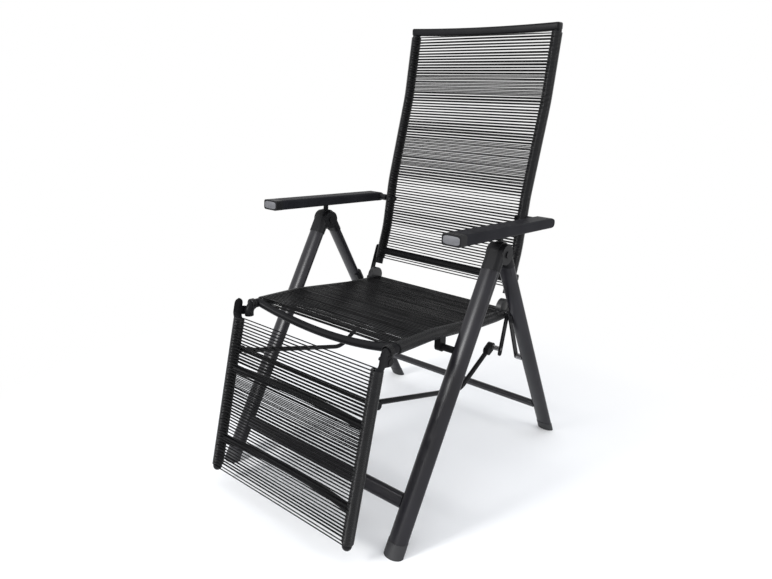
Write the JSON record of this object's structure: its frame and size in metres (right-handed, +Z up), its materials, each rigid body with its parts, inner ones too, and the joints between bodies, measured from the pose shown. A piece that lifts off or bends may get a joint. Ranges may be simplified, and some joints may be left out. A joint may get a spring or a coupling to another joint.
{
  "type": "reclining garden armchair",
  "caption": "Folding garden recliner with wound cord seat, back and linked footrest on crossed oval legs.",
  "frame": {"origin": "on the floor, under the middle of the chair's footprint", "axes": "+Z up, the sitter looks along -Y, +X is the sitter's left"},
  "size_m": [0.607, 0.8168, 1.112],
  "materials": {
    "leg_metal": "anthracite powder coat, satin",
    "rail_metal": "anthracite powder coat, satin",
    "arm_metal": "anthracite powder coat, satin",
    "bright_metal": "bare aluminium, satin",
    "steel_pin": "zinc-plated steel",
    "black_plastic": "moulded, matt",
    "grey_plastic": "moulded, matt",
    "pvc_cord": "round PVC cord, semi-gloss"
  },
  "bodies": {
    "front_frame": {"front_leg_left": "leg_metal", "front_leg_right": "leg_metal", "front_foot_caps": "black_plastic", "front_crossbar": "leg_metal", "front_leg_caps": "black_plastic", "armrest_posts": "rail_metal", "rack_pins": "steel_pin", "leg_hinge_pins": "steel_pin", "seat_pivot_pins": "steel_pin"},
    "rear_frame": {"rear_leg_left": "leg_metal", "rear_leg_right": "leg_metal", "rear_foot_caps": "black_plastic", "rear_crossbar": "leg_metal", "rear_leg_caps": "black_plastic", "rear_leg_collars": "black_plastic", "link_pins": "steel_pin"},
    "rear_link_left": {"rear_link_left": "rail_metal"},
    "rear_link_right": {"rear_link_right": "rail_metal"},
    "seat_frame": {"seat_rail_left": "rail_metal", "seat_rail_right": "rail_metal", "seat_windings": "pvc_cord", "seat_net_top": "pvc_cord", "seat_net_bottom": "pvc_cord", "seat_bow": "rail_metal", "seat_rear_bar": "rail_metal", "seat_brackets": "rail_metal", "seat_hinge_blocks": "grey_plastic"},
    "back_frame": {"back_rail_left": "rail_metal", "back_rail_right": "rail_metal", "back_windings": "pvc_cord", "back_net_front": "pvc_cord", "back_net_rear": "pvc_cord", "back_top_bar": "rail_metal", "back_lower_bar": "rail_metal", "crank_left": "rail_metal", "crank_right": "rail_metal", "crank_pins": "steel_pin", "crank_rivets": "steel_pin", "back_hinge_pins": "steel_pin", "armrest_bolt_left": "steel_pin", "armrest_bolt_right": "steel_pin"},
    "armrest_left": {"armrest_left": "arm_metal", "armrest_front_cap_left": "black_plastic"},
    "armrest_right": {"armrest_right": "arm_metal", "armrest_front_cap_right": "black_plastic"},
    "footrest_frame": {"footrest_rail_left": "rail_metal", "footrest_rail_right": "rail_metal", "footrest_heads": "rail_metal", "footrest_windings": "pvc_cord", "footrest_net_front": "pvc_cord", "footrest_net_rear": "pvc_cord", "footrest_crossbars": "rail_metal", "footrest_plugs": "black_plastic", "footrest_pivot_pins": "steel_pin"},
    "link_rods": {"link_rod_left": "rail_metal", "link_rod_right": "rail_metal", "link_rod_ends": "black_plastic", "link_cross_rod": "rail_metal"}
  },
  "joints": [
    {"name": "leg_fold", "type": "hinge", "parent": "front_frame", "child": "rear_frame", "pos_m": [0, 0.05228, 0.597], "axis": [-1, 0, 0], "range_deg": [0, 59]},
    {"name": "seat_fold", "type": "hinge", "parent": "front_frame", "child": "seat_frame", "pos_m": [0, -0.08072, 0.394], "axis": [-1, 0, 0], "range_deg": [0, 94.02]},
    {"name": "back_fold", "type": "hinge", "parent": "seat_frame", "child": "back_frame", "pos_m": [0, 0.19328, 0.403], "axis": [1, 0, 0], "range_deg": [0, 80.02]},
    {"name": "footrest_fold", "type": "hinge", "parent": "seat_frame", "child": "footrest_frame", "pos_m": [0, -0.27772, 0.425], "axis": [1, 0, 0], "range_deg": [0, 80.02]},
    {"name": "rod_fold", "type": "hinge", "parent": "footrest_frame", "child": "link_rods", "pos_m": [0, -0.30072, 0.332], "axis": [-1, 0, 0], "range_deg": [0, 80.02]},
    {"name": "armrest_fold_left", "type": "hinge", "parent": "back_frame", "child": "armrest_left", "pos_m": [0.279, 0.26228, 0.637], "axis": [-1, 0, 0], "range_deg": [0, 103.02]},
    {"name": "rear_link_fold_left", "type": "hinge", "parent": "rear_frame", "child": "rear_link_left", "pos_m": [0.241, 0.24758, 0.2687], "axis": [-1, 0, 0], "range_deg": [0, 127.92]},
    {"name": "armrest_fold_right", "type": "hinge", "parent": "back_frame", "child": "armrest_right", "pos_m": [-0.279, 0.26228, 0.637], "axis": [-1, 0, 0], "range_deg": [0, 103.02]},
    {"name": "rear_link_fold_right", "type": "hinge", "parent": "rear_frame", "child": "rear_link_right", "pos_m": [-0.241, 0.24758, 0.2687], "axis": [-1, 0, 0], "range_deg": [0, 127.92]}
  ],
  "couplings": [
    {"joint": "seat_fold", "follows": "leg_fold", "ratio": 1.5932},
    {"joint": "back_fold", "follows": "leg_fold", "ratio": 1.3559},
    {"joint": "footrest_fold", "follows": "leg_fold", "ratio": 1.3559},
    {"joint": "rod_fold", "follows": "leg_fold", "ratio": 1.3559},
    {"joint": "armrest_fold_left", "follows": "leg_fold", "ratio": 1.7458},
    {"joint": "rear_link_fold_left", "follows": "leg_fold", "ratio": 2.1678},
    {"joint": "armrest_fold_right", "follows": "leg_fold", "ratio": 1.7458},
    {"joint": "rear_link_fold_right", "follows": "leg_fold", "ratio": 2.1678}
  ]
}
